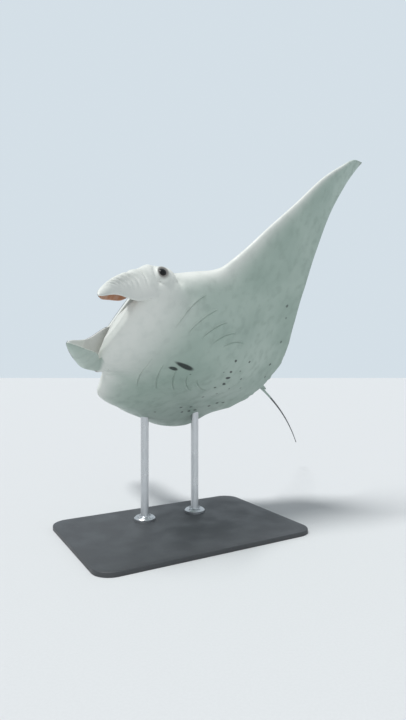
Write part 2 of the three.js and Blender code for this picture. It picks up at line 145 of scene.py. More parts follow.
# The wings, each read at a distance along the span, from 0 in the middle to half_span at the tip.
leading_edge = smooth_curve([
    (0, 0.17), (0.09, 0.188), (0.1, 0.179), (0.115, 0.157), (0.14, 0.113), (0.155, 0.099),
    (0.18, 0.089), (0.25, 0.061), (0.32, 0.0235), (0.39, -0.016), (0.45, -0.069),
    (0.48, -0.102), (0.5, -0.142),
])
trailing_edge = smooth_curve([
    (0, -0.224), (0.05, -0.222), (0.08, -0.205), (0.13, -0.171), (0.2, -0.1315), (0.28, -0.11),
    (0.36, -0.102), (0.43, -0.1146), (0.48, -0.136), (0.5, -0.148),
])
right_lead_forward = smooth_curve([
    (0.08, 0), (0.11, 0.017), (0.13, 0.0495), (0.15, 0.065), (0.165, 0.05), (0.18, 0.0145),
    (0.2, -0.004), (0.3, -0.013), (0.4, 0),
])
right_trail_forward = smooth_curve([
    (0, 0), (0.05, 0.013), (0.1, 0.014), (0.16, 0), (0.24, 0.008), (0.4, 0),
])
wing_thickness = smooth_curve([
    (0, 0.04), (0.1, 0.037), (0.15, 0.03), (0.25, 0.018), (0.35, 0.012), (0.5, 0.004),
])
wing_edge = 0.0012
last_station = 0.4992
# The trunk, each read at x: how far it rises over the wings, above and below, and how broad it is.
back_rise = smooth_curve([
    (-0.222, 0.004), (-0.16, 0.008), (-0.08, 0.018), (0, 0.024), (0.08, 0.025), (0.16, 0.018),
])
belly_rise = smooth_curve([
    (-0.222, 0.004), (-0.16, 0.012), (-0.08, 0.026), (0, 0.036), (0.08, 0.041), (0.16, 0.034),
])
trunk_spread = smooth_curve([
    (-0.222, 0.045), (-0.12, 0.07), (0, 0.097), (0.08, 0.102), (0.16, 0.1),
])
# How the wings slope and twist in this pose, in degrees, again along the span.
left_bend = wing_bend([(0, 0), (0.05, 0), (0.14, 0.6), (0.24, 15.8), (0.36, 26), (0.5, 38)])
right_bend = wing_bend([(0, 0), (0.08, 0), (0.14, 13.4), (0.24, 60), (0.36, 64.5), (0.5, 53)])
left_twist = smooth_curve([(0.1, 0), (0.2, -2.2), (0.3, -6.3), (0.4, -11.6), (0.5, -17.8)])
right_twist = smooth_curve([(0.1, 0), (0.15, -4.8), (0.2, 2.4), (0.3, 17.5), (0.5, -8)])
twist_axis = {"middle": 0.02, "sweep": 0.2}
# The rear of the body and the snout both curve to the right.
rear_sway = {"amount": 0.3, "from": 0.05, "spread": 0.06}
snout_sway = {"amount": 0.006, "from": 0.08, "over": 0.16}

head_start, head_front = 0.04, 0.242
head_half_width = smooth_curve([
    (0.04, 0.04), (0.08, 0.062), (0.12, 0.082), (0.15, 0.093), (0.175, 0.096), (0.197, 0.094),
    (0.212, 0.089), (0.226, 0.076), (0.236, 0.058), (0.242, 0.034),
])
head_top = smooth_curve([
    (0.04, 0.022), (0.08, 0.034), (0.12, 0.038), (0.16, 0.036), (0.2, 0.029), (0.216, 0.014),
    (0.227, -0.006), (0.242, -0.024),
])
head_bottom = smooth_curve([
    (0.04, -0.03), (0.08, -0.046), (0.12, -0.053), (0.16, -0.057), (0.2, -0.055),
    (0.22, -0.053), (0.236, -0.048), (0.242, -0.04),
])
head_squareness = {"top": 2.8, "bottom": 2.3}
mouth = {"back": 0.13, "front": 0.262, "half_width": 0.066, "top": -0.013, "bottom": -0.037,
         "first_step": 0.6 / 8, "floor_rise": 0.0115, "rise_spread": 0.03}
left_cephalic = {
    "side": 1,
    "dorsal": [(0.195, 0.05, 0.004), (0.227, 0.043, -0.009), (0.257, 0.032, -0.035),
               (0.3, 0.032, -0.064), (0.341, 0.04, -0.102)],
    "outer": [(0.18, 0.08, -0.004), (0.218, 0.091, 0.002), (0.25, 0.078, -0.015),
              (0.295, 0.062, -0.0487), (0.338, 0.0475, -0.09)],
    "ventral": [(0.19, 0.06, -0.036), (0.218, 0.06, -0.047), (0.255, 0.0507, -0.064),
                (0.3, 0.0495, -0.0765), (0.347, 0.0437, -0.108)],
}
right_cephalic = {
    "side": -1,
    "dorsal": [(0.2, 0.03, 0.004), (0.236, 0.027, -0.0135), (0.256, 0.0555, -0.0185),
               (0.3, 0.056, -0.0475), (0.337, 0.0385, -0.0935)],
    "outer": [(0.18, 0.084, -0.012), (0.21, 0.094, -0.021), (0.245, 0.0945, -0.0365),
              (0.28, 0.0765, -0.061), (0.333, 0.043, -0.094)],
    "ventral": [(0.19, 0.072, -0.032), (0.222, 0.0765, -0.036), (0.255, 0.057, -0.0585),
                (0.295, 0.045, -0.082), (0.344, 0.0335, -0.1045)],
}
cephalic_thickness = {"root": 0.014, "tip": 0.0065, "tip_rounding": 0.14, "fullness": 0.6}
tail_route = [(-0.17, -0.0145, 0.001), (-0.29, -0.04, 0), (-0.5, -0.1, 0.07), (-0.7, -0.19, 0.104)]
tail_radius = {"tip": 0.0011, "slope": 0.0014, "root": 0.013, "fade": 0.06, "flatness": 0.8}
pelvic_fin = {"root": (-0.18, 0.028), "tip": (-0.225, 0.026), "half_width": 0.0115,
              "thickness": 0.009, "right_forward": 0.011}
dorsal_fin = {"front": -0.19, "back": -0.242, "tip_at": -0.236, "height": 0.034, "thickness": 0.008}
orbit = {"at": (0.1985, 0.0872, -0.0062), "radii": (0.026, 0.0225, 0.0225)}
eye = {"at": (0.2078, 0.0965, -0.0125), "radii": (0.0097, 0.0097, 0.0097)}


# ==== Lofts: arrays of rings, (rings, points, 3) ====

def turns(count):
    return np.arange(count) / count * 2 * math.pi


def sway_at(x):
    return -rear_sway["amount"] * np.minimum(x - rear_sway["from"], 0) ** 2


def head_sway(x):
    along = np.clip((x - snout_sway["from"]) / snout_sway["over"], 0, 1)
    return -snout_sway["amount"] * along ** 1.5


def wing_section(chord):
    """The thickness of a rounded aerofoil along its chord, 1 at its thickest."""
    return (2.969 * np.sqrt(chord) - 1.26 * chord - 3.516 * chord ** 2
            + 2.843 * chord ** 3 - 1.036 * chord ** 4)


def disc_point(side, span, x, height):
    """A point of the flat disc, after the wing has twisted and bent."""
    twist = np.radians((left_twist if side > 0 else right_twist)(span))
    pivot = twist_axis["middle"] - twist_axis["sweep"] * (span / half_span) ** 2
    turned_x = pivot + (x - pivot) * np.cos(twist) - height * np.sin(twist)
    turned_up = height * np.cos(twist) + (x - pivot) * np.sin(twist)
    out, up, angle = (left_bend if side > 0 else right_bend)(span)
    sway = sway_at(turned_x) * bell(span, rear_sway["spread"])
    return np.stack([
        turned_x,
        side * (out - turned_up * np.sin(angle)) + sway,
        up + turned_up * np.cos(angle),
    ], -1)


def disc_rings(stations, ring_size):
    """The wings and trunk, from the right wing's tip to the left one's."""
    turn = turns(ring_size)
    chord = (1 + np.cos(turn)) / 2
    # Points lie closer at the two edges than between them, but less so than along a circle.
    even = np.arccos(np.clip(2 * chord - 1, -1, 1)) / math.pi
    chord = 0.55 * chord + 0.45 * (1 - even)
    rounding = np.sqrt(np.maximum(1 - (2 * chord - 1) ** 8, 0))
    fullness = 1 - (2 * chord - 1) ** np.where(chord < 0.5, 12, 6)
    sign = np.where(np.abs(np.sin(turn)) < 1e-9, 0, np.sign(np.sin(turn)))
    rings = []
    for station in np.linspace(-last_station, last_station, stations + 1):
        side, span = (-1 if station < 0 else 1), abs(station)
        front = leading_edge(span) + (right_lead_forward(span) if side < 0 else 0)
        rear = trailing_edge(span) + (right_trail_forward(span) if side < 0 else 0)
        x = front + (rear - front) * chord
        wing = wing_thickness(span) / 2 * wing_section(chord) + wing_edge * rounding
        trunk = np.exp(-((span / trunk_spread(x)) ** 2.8)) * fullness
        rise = np.where(sign > 0, back_rise(x), belly_rise(x))
        rings.append(disc_point(side, span, x, sign * (wing + rise * trunk)))
    return np.array(rings)


def head_rings(count, ring_size):
    turn = turns(ring_size)
    power = 2 / np.where(turn < math.pi, head_squareness["top"], head_squareness["bottom"])
    rings = []
    for step in np.linspace(0, 1, count):
        x = head_start + (head_front - head_start) * math.sin(step * math.pi / 2)
        top, bottom = head_top(x), head_bottom(x)
        rings.append(np.stack([
            np.full(ring_size, x),
            head_half_width(x) * signed_power(np.cos(turn), power) + head_sway(x),
            (top + bottom) / 2 + (top - bottom) / 2 * signed_power(np.sin(turn), power),
        ], -1))
    return np.array(rings)


def ball_rings(shape, side, count):
    """A ball that follows the head's sway, from just off its top to just off its bottom."""
    at, radii = shape["at"], np.array(shape["radii"])
    centre = np.array([at[0], side * at[1] + head_sway(at[0]), at[2]])
    rings = []
    turn = turns(2 * count)
    for tilt in np.linspace(0.03, math.pi - 0.03, count):
        unit = np.stack([
            np.cos(turn) * math.sin(tilt),
            np.sin(turn) * math.sin(tilt),
            np.full(2 * count, math.cos(tilt)),
        ], -1)
        rings.append(centre + unit * radii)
    return np.array(rings)


def mouth_rings(count, ring_size):
    """The hollow of the mouth, from its back to in front of the lips."""
    turn = turns(ring_size)
    middle = (mouth["top"] + mouth["bottom"]) / 2
    half = (mouth["top"] - mouth["bottom"]) / 2
    rings = []
    for step in np.linspace(0, 1, count):
        x = mouth["back"] + (mouth["front"] - mouth["back"]) * step
        opened = math.sqrt(math.sin(min(step + mouth["first_step"], 1) * math.pi / 2))
        across = mouth["half_width"] * opened * signed_power(np.cos(turn), 0.8)
        height = signed_power(np.sin(turn), 0.6)
        floor = mouth["floor_rise"] * bell(across, mouth["rise_spread"]) * np.maximum(-height, 0)
        rings.append(np.stack([
            np.full(ring_size, x),
            across - snout_sway["amount"],
            middle + half * opened * height + floor,
        ], -1))
    return np.array(rings)


def cephalic_rings(fin, count, ring_size):
    """A lobe, curled across from its dorsal edge over its outer line to its ventral edge."""
    scale = np.array([1, fin["side"], 1])
    names = "dorsal", "outer", "ventral"
    dorsal, outer, ventral = (smooth_line(np.array(fin[name]) * scale) for name in names)
    across = ((1 + np.cos(turns(ring_size))) / 2)[:, None]
    wave = signed_power(np.sin(turns(ring_size)), cephalic_thickness["fullness"])[:, None]
    rings = []
    for step in np.linspace(0, 1, count):
        along = math.sin(step * math.pi / 2)
        tip_start = 1 - cephalic_thickness["tip_rounding"]
        rounding = max(along - tip_start, 0) / cephalic_thickness["tip_rounding"]
        narrow = math.sqrt(max(1 - rounding ** 2, 0.004))
        d, o, v = dorsal(along), outer(along), ventral(along)
        middle = (d + v) / 4 + o / 2
        d, o, v = (middle + (p - middle) * narrow for p in (d, o, v))
        pull = 2 * o - (d + v) / 2
        ahead = outer(min(along, 0.98) + 0.005) - outer(min(along, 0.98) - 0.005)
        place = (1 - across) ** 2 * d + 2 * across * (1 - across) * pull + across ** 2 * v
        lean = 2 * (1 - across) * (pull - d) + 2 * across * (v - pull)
        normal = np.cross(ahead[None], lean)
        normal /= np.linalg.norm(normal, axis=1, keepdims=True)
        thick = cephalic_thickness["root"] * (1 - along) + cephalic_thickness["tip"] * along
        thick *= math.sqrt(max(narrow, 0.05))
        rings.append(place + normal * (thick / 2) * wave)
    return np.array(rings)


def tail_centre(along):
    a, b, c, d = (np.array(p, float) for p in tail_route)
    left = 1 - along
    return left ** 3 * a + 3 * along * left ** 2 * b + 3 * along ** 2 * left * c + along ** 3 * d


def tail_ring(along, angles):
    ahead = tail_centre(along + 0.005) - tail_centre(along - 0.005)
    ahead /= np.linalg.norm(ahead)
    across = np.cross(ahead, (0, 0, 1))
    across /= np.linalg.norm(across)
    over = np.cross(across, ahead)
    radius = tail_radius["tip"] + tail_radius["slope"] * (1 - along)
    radius += tail_radius["root"] * math.exp(-along / tail_radius["fade"])
    wide = radius * np.cos(angles)[:, None]
    high = radius * tail_radius["flatness"] * np.sin(angles)[:, None]
    return tail_centre(along) + wide * across + high * over


def pelvic_rings(side, count, ring_size):
    turn = turns(ring_size)
    rings = []
    for along in np.linspace(0, 1, count):
        x = pelvic_fin["root"][0] * (1 - along) + pelvic_fin["tip"][0] * along
        x += pelvic_fin["right_forward"] if side < 0 else 0
        y = side * (pelvic_fin["root"][1] * (1 - along) + pelvic_fin["tip"][1] * along) + sway_at(x)
        width = pelvic_fin["half_width"] * math.sqrt(max(1 - along ** 4, 0.02))
        half = pelvic_fin["thickness"] / 2 * math.sqrt(max(1 - along ** 3, 0.05))
        rings.append(np.stack([
            np.full(ring_size, x), y + width * np.cos(turn), half * np.sin(turn),
        ], -1))
    return np.array(rings)


def dorsal_rings(count, ring_size):
    turn = turns(ring_size)
    rings = []
    for up in np.linspace(0, 1, count):
        front = dorsal_fin["front"] * (1 - up ** 0.8) + dorsal_fin["tip_at"] * up ** 0.8
        back = dorsal_fin["back"] * (1 - up ** 2) + (dorsal_fin["tip_at"] - 0.004) * up ** 2
        half = dorsal_fin["thickness"] / 2 * (1 - 0.7 * up)
        x = (front + back) / 2 + (front - back) / 2 * np.cos(turn)
        height = np.full(ring_size, up * dorsal_fin["height"])
        rings.append(np.stack([x, half * np.sin(turn) + sway_at(x), height], -1))
    return np.array(rings)


# ==== Closed surfaces and signed distances ====

class Surface:
    """A closed loft in the body frame, in fractions of the disc width."""

    def __init__(self, rings):
        count, size = rings.shape[:2]
        index = np.arange(count * size).reshape(count, size)
        a, b = index[:-1], index[1:]
        quads = np.stack([a, np.roll(a, -1, 1), np.roll(b, -1, 1), b], -1).reshape(-1, 4)
        self.rings = rings
        self.ring_size = size
        self.points = np.concatenate([rings.reshape(-1, 3), rings[:1].mean(1), rings[-1:].mean(1)])
        first, last = count * size, count * size + 1
        caps = [[first, j, (j - 1) % size] for j in range(size)]
        base = (count - 1) * size
        caps += [[last, base + (j - 1) % size, base + j] for j in range(size)]
        self.faces = [list(map(int, q)) for q in quads] + caps
        if self.volume() < 0:
            self.faces = [f[::-1] for f in self.faces]
        self.tree = BVHTree.FromPolygons(self.points.tolist(), self.faces)
        self.low, self.high = self.points.min(0), self.points.max(0)

    def volume(self):
        total = 0.0
        p = self.points
        for fan in ((0, 1, 2), (0, 2, 3)):
            faces = np.array([[f[k] for k in fan] for f in self.faces if len(f) > max(fan)])
            a, b, c = p[faces[:, 0]], p[faces[:, 1]], p[faces[:, 2]]
            total += np.einsum("ij,ij->i", a, np.cross(b, c)).sum()
        return total

    def distance(self, points, reach):
        """Signed distance of each point within reach; the others get reach."""
        near = np.all((points > self.low - reach) & (points < self.high + reach), axis=1)
        found = np.full(len(points), float(reach))
        find = self.tree.find_nearest
        for i in np.nonzero(near)[0]:
            place, normal, _, gap = find(points[i], reach)
            if place is not None:
                found[i] = gap if (points[i] - place) @ np.array(normal) >= 0 else -gap
        return found

    def place_on(self, points, reach=1.0):
        """How far along the rings and how far round them each point lies, 0 to 1."""
        last, size = len(self.rings) - 1, self.ring_size
        face = np.array([self.tree.find_nearest(p, reach)[2] for p in points])
        face = np.minimum(face, last * size - 1)
        i, j = face // size, face % size
        a, b = self.rings[i, j], self.rings[i, (j + 1) % size]
        c, d = self.rings[i + 1, j], self.rings[i + 1, (j + 1) % size]
        shares = []
        for step in ((c + d - a - b) / 2, (b + d - a - c) / 2):
            length = np.maximum(np.einsum("ij,ij->i", step, step), 1e-12)
            shares.append(np.clip(np.einsum("ij,ij->i", points - a, step) / length, 0, 1))
        return (i + shares[0]) / last, (j + shares[1]) / size


disc = Surface(disc_rings(520, 340))
head = Surface(head_rings(110, 240))
orbits = [Surface(ball_rings(orbit, side, 60)) for side in (1, -1)]
fins = [Surface(cephalic_rings(fin, 130, 120)) for fin in (left_cephalic, right_cephalic)]
pelvics = [Surface(pelvic_rings(side, 40, 60)) for side in (1, -1)]
blade = Surface(dorsal_rings(40, 60))
tail = Surface(np.array([tail_ring(a, turns(40)) for a in np.linspace(0, 1, 420) ** 1.3]))
hollow = Surface(mouth_rings(60, 160))

# In the order they are laid over each other; each with how far its join with an earlier one is
# rounded, in fractions of the disc width.
shells = [disc, head, *orbits, tail, *pelvics, blade, *fins]
blends = [0, 0.034, 0.02, 0.02, 0.009, 0.004, 0.004, 0.006, 0.007, 0.007]
lip_blend = 0.005
wide_blend = 0.01  # joins rounded further than this are wide, the others narrow
join_reach = 0.075
lip_reach = 0.03


def joins(points):
    """How near each point is to a wide join, to a narrow one and to the lips, from 0 to 1."""
    gaps = np.array([shell.distance(points, join_reach) for shell in shells])
    owner = gaps.argmin(0)
    wide, narrow = np.zeros(len(points)), np.zeros(len(points))
    for i in range(len(shells)):
        blend = np.array(blends)[np.maximum(owner, i)]
        near = np.where(owner == i, 0, bell(gaps[i], np.maximum(blend, 1e-6)))
        wide = np.maximum(wide, np.where(blend > wide_blend, near, 0))
        narrow = np.maximum(narrow, np.where(blend > wide_blend, 0, near))
    inside = hollow.distance(points, lip_reach)
    lip = bell(np.abs(inside) + np.abs(gaps.min(0)), lip_blend)
    return wide, narrow, lip


# ==== The skin's mesh ====

def placed(name, data):
    """A new object in the scene."""
    made = bpy.data.objects.new(name, data)
    bpy.context.scene.collection.objects.link(made)
    return made


def new_object(name, points, faces):
    mesh = bpy.data.meshes.new(name)
    mesh.from_pydata(np.asarray(points).tolist(), [], faces)
    mesh.update()
    return placed(name, mesh)


def applied(made):
    """The object with its modifiers applied to its mesh."""
    graph = bpy.context.evaluated_depsgraph_get()
    mesh = bpy.data.meshes.new_from_object(made.evaluated_get(graph))
    old = made.data
    made.modifiers.clear()
    made.data = mesh
    bpy.data.meshes.remove(old)
    return made


def combine(made, surface, operation):
    other = new_object("other", surface.points, surface.faces)
    change = made.modifiers.new("combine", "BOOLEAN")
    change.operation, change.object, change.solver = operation, other, "MANIFOLD"
    applied(made)
    bpy.data.objects.remove(other)


def vertices_of(mesh):
    co = np.empty(len(mesh.vertices) * 3)
    mesh.vertices.foreach_get("co", co)
    return co.reshape(-1, 3)


def edges_of(mesh):
    ends = np.empty(len(mesh.edges) * 2, int)
    mesh.edges.foreach_get("vertices", ends)
    return ends.reshape(-1, 2)


def evened(points, edges, weight, rounds):
    """Moves each point towards its neighbours' mean, nearer ones counting more, by its weight."""
    a, b = edges.T
    for turn in range(rounds):
        if turn % 5 == 0:
            pull = 1 / np.maximum(np.linalg.norm(points[a] - points[b], axis=1), 5e-4)
            total = np.bincount(a, pull, len(points)) + np.bincount(b, pull, len(points))
        sums = [
            np.bincount(a, points[b, k] * pull, len(points))
            + np.bincount(b, points[a, k] * pull, len(points))
            for k in range(3)
        ]
        mean = np.stack(sums, -1) / total[:, None]
        points = points + (mean - points) * weight[:, None]
    return points


def merge_close(mesh, distance, chosen=None):
    """Merges the vertices that lie closer than a distance: all, or only the chosen ones."""
    work = bmesh.new()
    work.from_mesh(mesh)
    verts = [v for v in work.verts if chosen is None or chosen[v.index]]
    bmesh.ops.remove_doubles(work, verts=verts, dist=distance)
    work.to_mesh(mesh)
    work.free()


# The skin is evened where its shells join. The left cephalic fin springs from beside the eye
# without a crease, so a short line there, the cheek, is evened as well.
half_way = 0.5
rounds = {"wide": 200, "narrow": 16, "cheek": 24, "normals": 4}
cheek = {"start": np.array([0.2225, 0.0945, 0.002]), "line": np.array([0, -0.0065, -0.023]),
         "radius": 0.0065}
doubles_apart = 2e-5
slivers = {"apart": 6e-4, "from": 0.05}  # merged where a wide join is at least this near

skin = new_object("skin", disc.points, disc.faces)
for surface in (head, *orbits, tail, *pelvics, blade):
    combine(skin, surface, "UNION")
combine(skin, hollow, "DIFFERENCE")
for surface in fins:
    combine(skin, surface, "UNION")
merge_close(skin.data, doubles_apart)

points = vertices_of(skin.data)
edges = edges_of(skin.data)
wide, narrow, lip = joins(points)
points = evened(points, edges, half_way * wide, rounds["wide"])
points = evened(points, edges, half_way * np.maximum(narrow, lip), rounds["narrow"])
share = np.clip((points - cheek["start"]) @ cheek["line"] / (cheek["line"] @ cheek["line"]), 0, 1)
nearest = cheek["start"] + share[:, None] * cheek["line"]
apart = np.linalg.norm(points - nearest, axis=1)
on_cheek = np.exp(-((apart / cheek["radius"]) ** 4))
points = evened(points, edges, half_way * on_cheek, rounds["cheek"])
skin.data.vertices.foreach_set("co", points.ravel())
skin.data.update()
# Known fault: after this about 70 edges, at the cephalic fins' roots and in the mouth, don't
# have two faces. The skin isn't closed, and Blender refuses any further boolean on it.
merge_close(skin.data, slivers["apart"], wide > slivers["from"])


# ==== Surface detail, in the body frame ====

eye_centres = [
    np.array([eye["at"][0], side * eye["at"][1] + head_sway(eye["at"][0]), eye["at"][2]])
    for side in (1, -1)
]
eyelid = {"rim": 0.0016, "rim_at": 0.0016, "rim_width": 0.0022,
          "fold": 0.0011, "fold_at": 0.0075, "fold_width": 0.0028}

# Gill slits, front to back: inner end and outer end on the left; the right ones mirror them.
gill_count = 5
gill_inner = [(0.150 - 0.030 * i, 0.034 + 0.0015 * i) for i in range(gill_count)]
gill_outer = [(0.118 - 0.036 * i, 0.104 - 0.011 * i) for i in range(gill_count)]
gill_bow = 0.006
gill_half_width = 0.0010
gill_depth = 0.0017
gill_flap = 0.0008
flap_behind = 2.6  # in half-widths of the slit, as the next
flap_width = 2

# The furrow behind each eye runs from its top to its foot; the ridge is in front of it.
furrow = {"top": (0.186, 0.1005, -0.001), "foot": (0.173, 0.099, -0.018),
          "sway": (-0.004, -0.003), "ahead": np.array([0.79, 0, -0.605]), "reach": 0.02,
          "depth": 0.0036, "at": -0.003, "width": 0.0036,
          "ridge": 0.0022, "ridge_at": 0.004, "ridge_width": 0.004}

# Wrinkles of the left cephalic fin: place along it and strength, and the shape they share.
wrinkles = [(0.54, 0.8), (0.66, 1), (0.72, 1), (0.78, 1), (0.835, 0.9), (0.885, 0.8), (0.93, 0.5)]
wrinkle = {"slant": 0.4, "ridge": 0.0023, "ridge_at": 0.028, "ridge_width": 0.016,
           "groove": 0.0038, "groove_width": 0.014}

# Belly spots: forward, left, half-length, half-width, turn in degrees, darkness.
spots = [
    (0.081, -0.0218, 0.0225, 0.005, 1, 1), (0.0985, -0.035, 0.0095, 0.0038, -6, 0.95),
    (-0.0308, 0.024, 0.0042, 0.0028, 20, 0.9), (-0.0802, 0.0302, 0.0036, 0.0026, 0, 0.8),
    (-0.1763, 0.0359, 0.004, 0.003, 0, 0.8), (-0.195, 0.0042, 0.0036, 0.0024, 30, 0.7),
    (-0.0415, -0.001, 0.0046, 0.0026, 10, 0.9), (-0.0483, -0.0158, 0.0074, 0.0032, -8, 1),
    (-0.0955, -0.011, 0.0034, 0.0024, 0, 0.7), (-0.0543, -0.0322, 0.0062, 0.003, 12, 0.95),
    (-0.0397, -0.0464, 0.004, 0.0024, 0, 0.8), (-0.0488, -0.0829, 0.0034, 0.0026, 0, 0.7),
    (-0.1095, -0.1092, 0.0042, 0.003, 15, 0.9), (-0.1202, -0.0946, 0.0046, 0.0024, -10, 0.9),
    (-0.1377, -0.0896, 0.005, 0.0022, -20, 0.8), (-0.0379, -0.1317, 0.004, 0.0034, 0, 0.8),
    (-0.0625, -0.1476, 0.0044, 0.003, 20, 0.8), (-0.0636, -0.1243, 0.0046, 0.0026, 0, 0.8),
    (-0.0786, -0.1404, 0.005, 0.003, 10, 0.9), (-0.0912, -0.1333, 0.0052, 0.0028, 0, 0.9),
    (0.0106, -0.1617, 0.005, 0.0022, 30, 0.45), (-0.102, 0.1601, 0.004, 0.0034, 0, 0.7),
    (-0.1247, 0.1386, 0.0036, 0.0024, 0, 0.45), (-0.162, 0.0899, 0.0036, 0.0034, 0, 0.6),
    (0.056, -0.033, 0.0022, 0.0016, 0, 0.5), (-0.07, 0.006, 0.0026, 0.0018, 0, 0.6),
    (-0.089, -0.042, 0.003, 0.002, 15, 0.6), (-0.021, -0.006, 0.0024, 0.0018, 0, 0.5),
    (-0.129, -0.035, 0.0032, 0.0022, 0, 0.6), (-0.073, -0.064, 0.003, 0.0022, 0, 0.6),
]


def across_gills(points):
    """The distance across the nearest gill slit, and 1 along it, fading to 0 at its ends."""
    best = np.full(len(points), 1.0)
    across = np.full(len(points), 1.0)
    within = np.zeros(len(points))
    side = np.abs(points[:, 1])
    for (x0, y0), (x1, y1) in zip(gill_inner, gill_outer):
        length = math.hypot(x1 - x0, y1 - y0)
        along = ((points[:, 0] - x0) * (x1 - x0) + (side - y0) * (y1 - y0)) / length ** 2
        off = ((points[:, 0] - x0) * (y0 - y1) + (side - y0) * (x1 - x0)) / length
        off = off + gill_bow * (1 - (2 * along - 1) ** 2)
        inside = np.sqrt(np.clip(1 - (2 * along - 1) ** 4, 0, 1)) * ((along > 0) & (along < 1))
        score = np.abs(off) + np.where(inside > 0, 0, 1)
        closer = score < best
        best = np.where(closer, score, best)
        across = np.where(closer, off, across)
        within = np.where(closer, inside, within)
    return across, within


def spot_mask(points):
    dark = np.zeros(len(points))
    for x, y, long, wide, turn, depth in spots:
        c, s = math.cos(math.radians(turn)), math.sin(math.radians(turn))
        u = ((points[:, 0] - x) * c + (points[:, 1] - y) * s) / long
        v = ((points[:, 1] - y) * c - (points[:, 0] - x) * s) / wide
        edge = np.sqrt(u * u + v * v) * (1 + 0.05 * np.sin(3 * np.arctan2(v, u) + 60 * x))
        dark = np.maximum(dark, depth * (1 - smooth_step(0.7, 1.25, edge)))
    return dark


def from_eye(points):
    return np.min([np.linalg.norm(points - c, axis=1) for c in eye_centres], axis=0)


def refine(mesh, wanted, levels):
    """Splits the edges between wanted places, once more at each level."""
    work = bmesh.new()
    work.from_mesh(mesh)
    for level in range(levels):
        places = np.array([v.co for v in work.verts])
        normals = np.array([v.normal for v in work.verts])
        keep = wanted(places, normals, level)
        chosen = [e for e in work.edges if keep[e.verts[0].index] and keep[e.verts[1].index]]
        bmesh.ops.subdivide_edges(work, edges=chosen, cuts=1, use_grid_fill=True)
        work.verts.index_update()
        work.normal_update()
    work.to_mesh(mesh)
    work.free()


def detailed(places, normals, level):
    below = normals[:, 2] < -0.2
    across, within = across_gills(places)
    gills = (within > 0) & (np.abs(across) < gills_within[level])
    marked = np.zeros(len(places), bool)
    for x, y, long, *_ in spots:
        marked |= np.hypot(places[:, 0] - x, places[:, 1] - y) < 1.6 * long + 0.002
    return below & (gills | marked) | (from_eye(places) < eyes_within[level])


# How far from a gill slit and from an eye's centre the mesh is refined, at each level.
gills_within = (0.008, 0.0045)
eyes_within = (0.042, 0.019)
refine(skin.data, detailed, len(gills_within))
points = vertices_of(skin.data)
normals = np.empty(len(points) * 3)
skin.data.vertices.foreach_get("normal", normals)
weight = np.full(len(points), half_way)
normals = evened(normals.reshape(-1, 3), edges_of(skin.data), weight, rounds["normals"])
normals /= np.linalg.norm(normals, axis=1, keepdims=True)
below = smooth_step(0.1, 0.5, -normals[:, 2])

across, within = across_gills(points)
groove = bell(across, gill_half_width) * within * below
flap = bell(across, flap_width * gill_half_width, -flap_behind * gill_half_width) * within * below
lift = gill_flap * flap - gill_depth * groove

# Eyelids: a raised rim close round each eye, with a shallow fold outside it.
off_eye = from_eye(points) - eye["radii"][0]
lift += eyelid["rim"] * bell(off_eye, eyelid["rim_width"], eyelid["rim_at"])
lift -= eyelid["fold"] * bell(off_eye, eyelid["fold_width"], eyelid["fold_at"])

# Behind each eye a short ridge and the furrow that parts the head from the wing's root.
for side in (1, -1):
    top, foot = (
        np.array([x, side * y + sway, z])
        for (x, y, z), sway in zip((furrow["top"], furrow["foot"]), furrow["sway"])
    )
    line = foot - top
    place = (points - top) @ line / (line @ line)
    closest = top + np.clip(place, -0.6, 1)[:, None] * line
    ahead = (points - closest) @ furrow["ahead"]
    fade = smooth_step(-0.9, 0, place) * (1 - smooth_step(0.75, 1.6, place))
    fade = fade * bell(np.abs(points[:, 1] - closest[:, 1]), furrow["reach"])
    lift += fade * (
        furrow["ridge"] * bell(ahead, furrow["ridge_width"], furrow["ridge_at"])
        - furrow["depth"] * bell(ahead, furrow["width"], furrow["at"])
    )

# Oblique wrinkles on the outside of the left cephalic fin, along its outermost line.
along, round_fin = fins[0].place_on(points)
on_fin = fins[0].distance(points, 0.01)
along = np.sin(along * math.pi / 2)
across_fin = (1 + np.cos(round_fin * 2 * math.pi)) / 2
outside = (round_fin < 0.5) & (np.abs(on_fin) < 0.002)
window = smooth_step(0.36, 0.46, across_fin) * (1 - smooth_step(0.62, 0.92, across_fin))
for place, strength in wrinkles:
    off = along - (place - wrinkle["slant"] * (across_fin - 0.5))
    wave = (
        wrinkle["ridge"] * bell(off, wrinkle["ridge_width"], wrinkle["ridge_at"])
        - wrinkle["groove"] * bell(off, wrinkle["groove_width"])
    )
    lift += np.where(outside, strength * window * wave, 0)
points = points + normals * lift[:, None]
skin.data.vertices.foreach_set("co", points.ravel())
skin.data.update()


# ==== Markings, and painted light and shade: one value per vertex, read by the skin's material ====

near = {"fin": 0.01, "tail": 0.02, "mouth": 0.02}  # how far off each is looked for
on_surface = 0.0015


def store(name, values):
    attribute = skin.data.attributes.new(name, "FLOAT", "POINT")
    attribute.data.foreach_set("value", np.asarray(values, np.float32))


# back: over 0 where the slate of the back shows, under 0 where the pale belly does.
station, round_disc = disc.place_on(points)
span = np.abs(station - 0.5)
chord = (1 + np.cos(round_disc * 2 * math.pi)) / 2
from_edge = np.minimum(0.3 * chord, 0.9 * (1 - chord))
back = np.where(round_disc < 0.5, 1, -1) * from_edge - np.where(chord < 0.5, 0.003, 0.001)
x, aside, z = points[:, 0], np.abs(points[:, 1]), points[:, 2]
head_back = np.minimum(z - 0.006, 0.224 - x)
on_head = smooth_step(0.14, 0.19, x) * (1 - smooth_step(0.11, 0.14, aside))
back = back * (1 - on_head) + head_back * on_head
